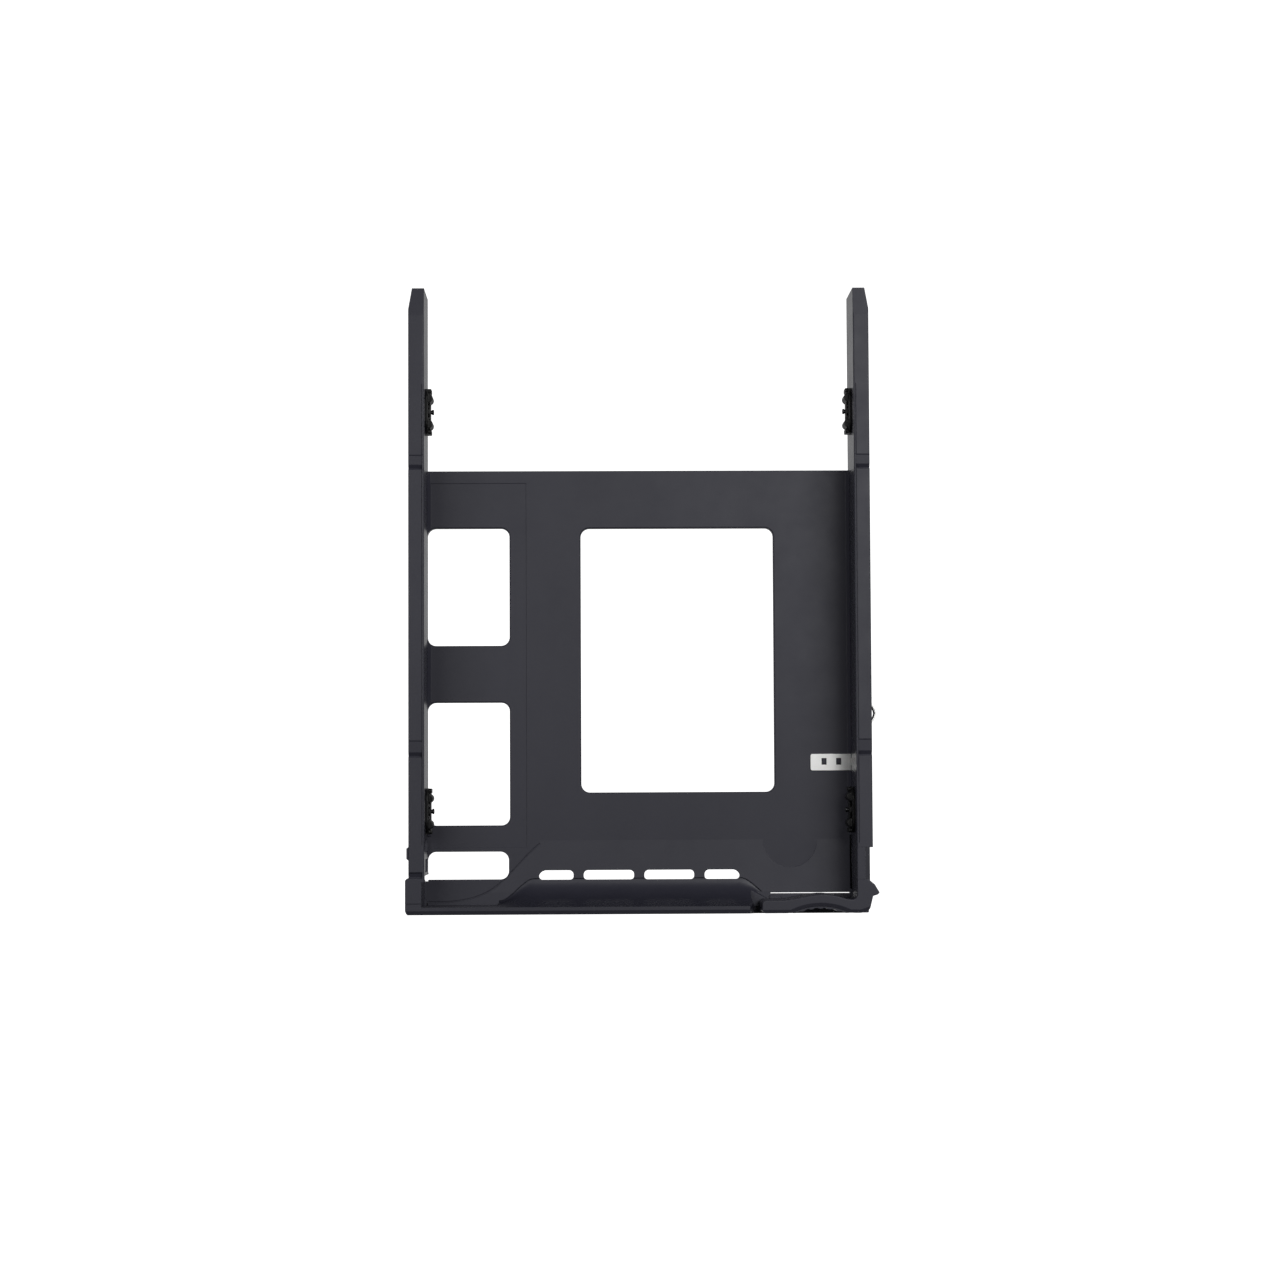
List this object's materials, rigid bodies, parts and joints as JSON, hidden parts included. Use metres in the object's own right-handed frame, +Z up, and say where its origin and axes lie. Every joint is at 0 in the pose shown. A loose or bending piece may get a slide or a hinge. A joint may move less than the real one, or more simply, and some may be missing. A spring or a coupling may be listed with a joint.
{
  "type": "hard drive tray",
  "caption": "Tool-less tray for a 3.5-inch hard drive: open rear, C-section rails that flex outwards, rubber-mounted pins, a windowed floor and a sprung thumb latch at one front corner.",
  "frame": {"origin": "on the underside, midway between the rails, 1 mm behind the foot of the front face", "axes": "+X to the right of someone who looks at the front face, where the latch is; +Y from the front face to the open rear ends of the rails; +Z up"},
  "size_m": [0.119, 0.1585, 0.018],
  "materials": {
    "plastic": "matt, fine spark-eroded grain",
    "rubber": "smooth soft rubber",
    "pin_steel": "turned, dark plated",
    "clip_steel": "bright rolled sheet"
  },
  "bodies": {
    "frame": {"tray_frame": "plastic", "latch_flexure": "plastic", "left_rail_flexure": "plastic", "right_rail_flexure": "plastic", "grounding_clip": "clip_steel", "front_left_isolator": "rubber", "front_left_pin": "pin_steel", "front_right_isolator": "rubber", "front_right_pin": "pin_steel"},
    "latch": {"latch_lever": "plastic"},
    "left_arm": {"left_rail_arm": "plastic", "rear_left_isolator": "rubber", "rear_left_pin": "pin_steel"},
    "right_arm": {"right_rail_arm": "plastic", "rear_right_isolator": "rubber", "rear_right_pin": "pin_steel"},
    "contact": {"ground_contact": "clip_steel"}
  },
  "joints": [
    {"name": "latch_hinge", "type": "hinge", "parent": "frame", "child": "latch", "pos_m": [0.0552, 0.014, 0], "axis": [0, 0, 1], "range_deg": [-6, 0], "stiffness_Nm_per_rad": 0.6, "deforming": ["latch_flexure"]},
    {"name": "left_rail_flex", "type": "hinge", "parent": "frame", "child": "left_arm", "pos_m": [-0.0562, 0.11325, 0], "axis": [0, 0, 1], "range_deg": [-3, 4], "stiffness_Nm_per_rad": 6, "deforming": ["left_rail_flexure"]},
    {"name": "right_rail_flex", "type": "hinge", "parent": "frame", "child": "right_arm", "pos_m": [0.0562, 0.11325, 0], "axis": [0, 0, -1], "range_deg": [-3, 4], "stiffness_Nm_per_rad": 6, "deforming": ["right_rail_flexure"]},
    {"name": "ground_contact_flex", "type": "hinge", "parent": "frame", "child": "contact", "pos_m": [0.05655, 0.03988, 0], "axis": [0, 0, 1], "range_deg": [0, 5], "stiffness_Nm_per_rad": 0.1}
  ]
}
